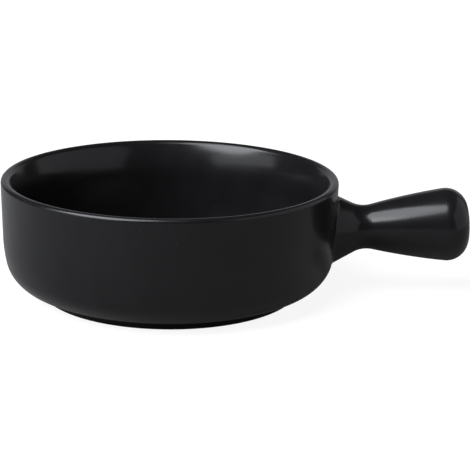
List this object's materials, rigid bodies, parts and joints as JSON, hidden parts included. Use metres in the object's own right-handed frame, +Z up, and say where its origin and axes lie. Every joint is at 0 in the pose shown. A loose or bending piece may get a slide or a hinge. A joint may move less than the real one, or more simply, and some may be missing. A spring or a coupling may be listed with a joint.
{
  "type": "onion soup crock",
  "caption": "Low round stoneware soup crock with a rolled lip, a turned foot ring and a hollow stick handle, for a serving of gratinated soup under the grill and at the table.",
  "frame": {"origin": "on the bowl's axis, at the plane of the foot ring that the crock rests on", "axes": "+X from the bowl towards the handle's end, +Z up through the open rim, +Y completes the right hand"},
  "size_m": [0.2092, 0.15, 0.0523],
  "materials": {
    "stoneware": "bare dark stoneware, fired to a fine dry grain",
    "slip": "fired slip of the same clay",
    "liner_glaze": "satin black glaze, poured",
    "outer_glaze": "satin black glaze, dipped"
  },
  "bodies": {
    "root": {"bowl_body": "stoneware", "handle": "stoneware", "luting_slip": "slip", "liner_glaze": "liner_glaze", "outer_glaze": "outer_glaze", "handle_glaze": "outer_glaze", "base_glaze": "outer_glaze"}
  },
  "joints": []
}
